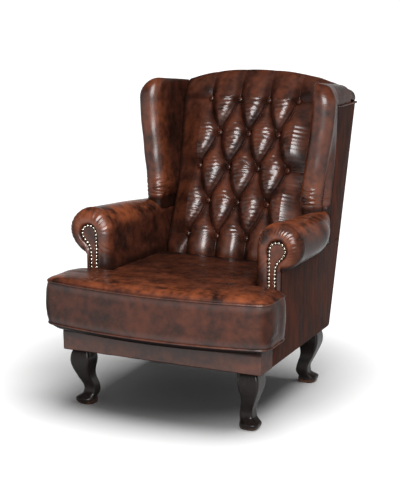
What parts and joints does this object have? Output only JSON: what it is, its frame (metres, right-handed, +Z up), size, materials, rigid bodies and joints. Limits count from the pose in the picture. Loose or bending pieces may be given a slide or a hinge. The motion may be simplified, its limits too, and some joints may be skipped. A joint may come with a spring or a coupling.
{
  "type": "wingback armchair",
  "caption": "High-backed wing armchair in glossy dark brown leather with a deep-buttoned back, rolled arms, a loose T-shaped cushion and cabriole legs.",
  "frame": {"origin": "on the floor under the middle of the chair's bounding box", "axes": "+Z up, the sitter faces -Y, and the sitter's left arm is on the +X side"},
  "size_m": [0.834, 0.9908, 1.0614],
  "materials": {
    "leather": "hand-antiqued glossy leather, near black in its folds and orange-brown on its edges",
    "dark_wood": "near-black satin lacquer, worn brown at the feet",
    "frame_wood": "sawn, unfinished",
    "steel": "plain zinc-coated",
    "nail_metal": "pale aged brass domes on a dark leather band",
    "black_cloth": "plain black woven cloth",
    "foam": "cream upholstery foam, matt"
  },
  "bodies": {
    "chair": {"arm_facing_left": "leather", "arm_facing_right": "leather", "arm_pad_left": "leather", "arm_pad_right": "leather", "arm_rail_left": "frame_wood", "arm_rail_right": "frame_wood", "arm_stump_left": "frame_wood", "arm_stump_right": "frame_wood", "back_pad": "leather", "back_piping": "leather", "back_post_left": "frame_wood", "back_post_right": "frame_wood", "back_stretcher": "frame_wood", "corner_block_front_left": "frame_wood", "corner_block_front_right": "frame_wood", "corner_block_rear_left": "frame_wood", "corner_block_rear_right": "frame_wood", "crest_pad": "leather", "crest_rail": "frame_wood", "dust_cover": "black_cloth", "front_border": "leather", "front_rail": "frame_wood", "leg_bolt_front_left": "steel", "leg_bolt_front_right": "steel", "leg_bolt_rear_left": "steel", "leg_bolt_rear_right": "steel", "leg_front_left": "dark_wood", "leg_front_right": "dark_wood", "leg_rear_left": "dark_wood", "leg_rear_right": "dark_wood", "nail_trim_left": "nail_metal", "nail_trim_right": "nail_metal", "outside_arm_left": "leather", "outside_arm_right": "leather", "outside_back": "leather", "outside_wing_left": "leather", "outside_wing_right": "leather", "rear_rail": "frame_wood", "seat_deck": "black_cloth", "seat_spring_1": "steel", "seat_spring_2": "steel", "seat_spring_3": "steel", "seat_spring_4": "steel", "side_rail_left": "frame_wood", "side_rail_right": "frame_wood", "tuft_row_1": "leather", "tuft_row_2": "leather", "tuft_row_3": "leather", "tuft_row_4": "leather", "tuft_row_5": "leather", "wing_board_left": "frame_wood", "wing_board_right": "frame_wood", "wing_pad_left": "leather", "wing_pad_right": "leather"},
    "cushion": {"cushion_core": "foam", "cushion_cover": "leather", "cushion_piping_bottom": "leather", "cushion_piping_top": "leather", "cushion_zip": "steel"}
  },
  "joints": [
    {"name": "cushion_lift", "type": "slide", "parent": "chair", "child": "cushion", "axis": [0, 0, 1], "range_m": [0, 0.38]}
  ]
}
